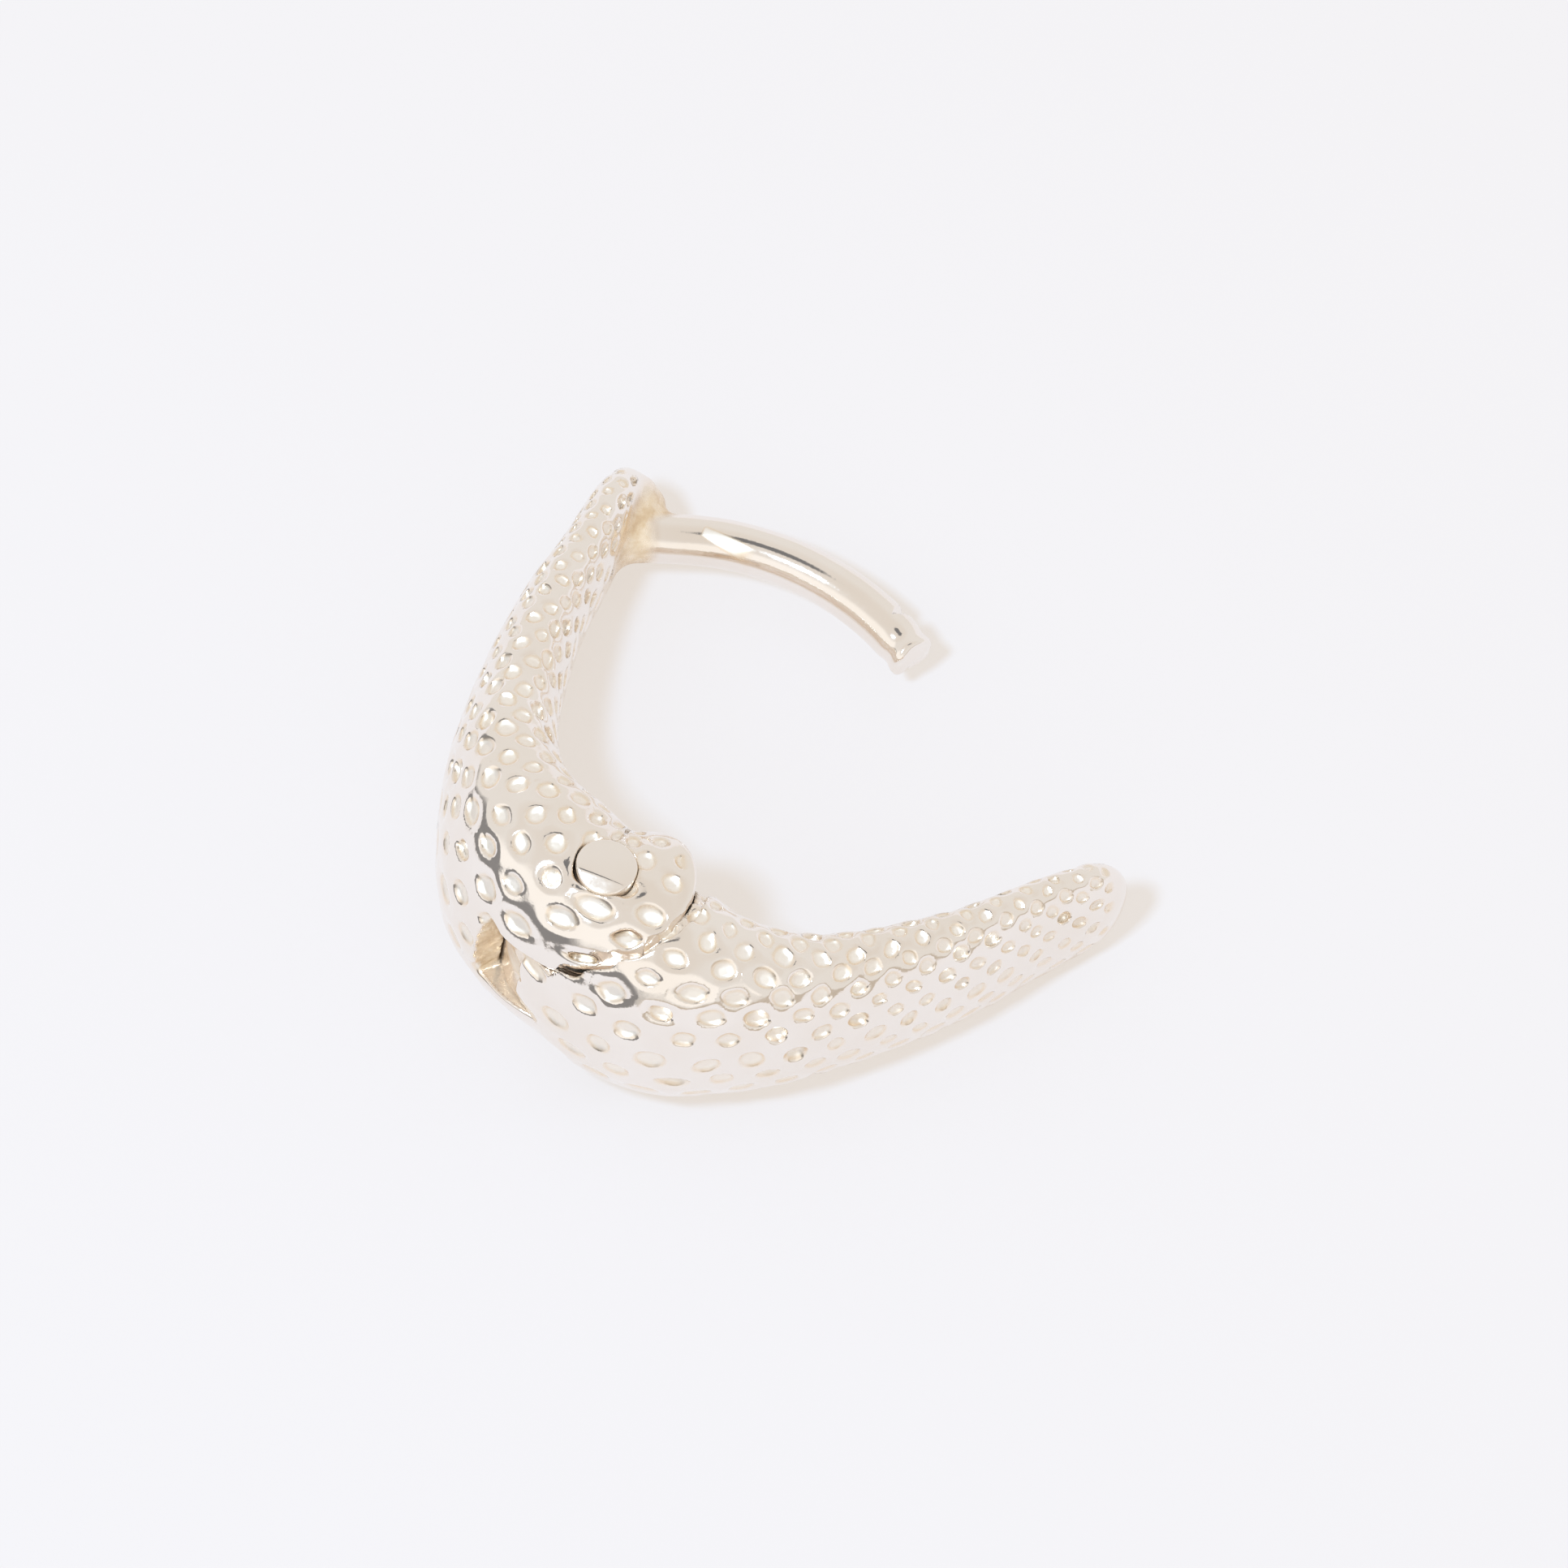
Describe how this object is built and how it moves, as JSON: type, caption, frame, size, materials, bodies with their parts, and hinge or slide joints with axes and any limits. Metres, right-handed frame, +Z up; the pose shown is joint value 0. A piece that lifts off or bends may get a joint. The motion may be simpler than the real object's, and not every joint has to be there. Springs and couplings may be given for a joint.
{
  "type": "hinged hoop earring",
  "caption": "Hinged hoop earring of dimpled polished silver, lying open: tapering arms on a riveted pin, with a curved wire post that snaps into the far arm.",
  "frame": {"origin": "on the surface that the open earring lies on, below the middle of its bounding box", "axes": "+Z up from the surface, +X to the tip of the catch arm, +Y to the tip of the post arm; the hinge pin leans about 9 degrees between the arms"},
  "size_m": [0.0164, 0.0164, 0.0063],
  "materials": {
    "silver": "polished cast silver, slightly warm, brown tarnish in the slot and at the solder",
    "pin_silver": "ground and polished"
  },
  "bodies": {
    "post_arm": {"post_arm": "silver", "hinge_pin": "pin_silver"},
    "catch_arm": {"catch_arm": "silver"}
  },
  "joints": [
    {"name": "hinge", "type": "hinge", "parent": "post_arm", "child": "catch_arm", "pos_m": [-0.00444, -0.00458, 0.00315], "axis": [0.1087, 0.1182, 0.987], "range_deg": [-15, 39.5]}
  ]
}
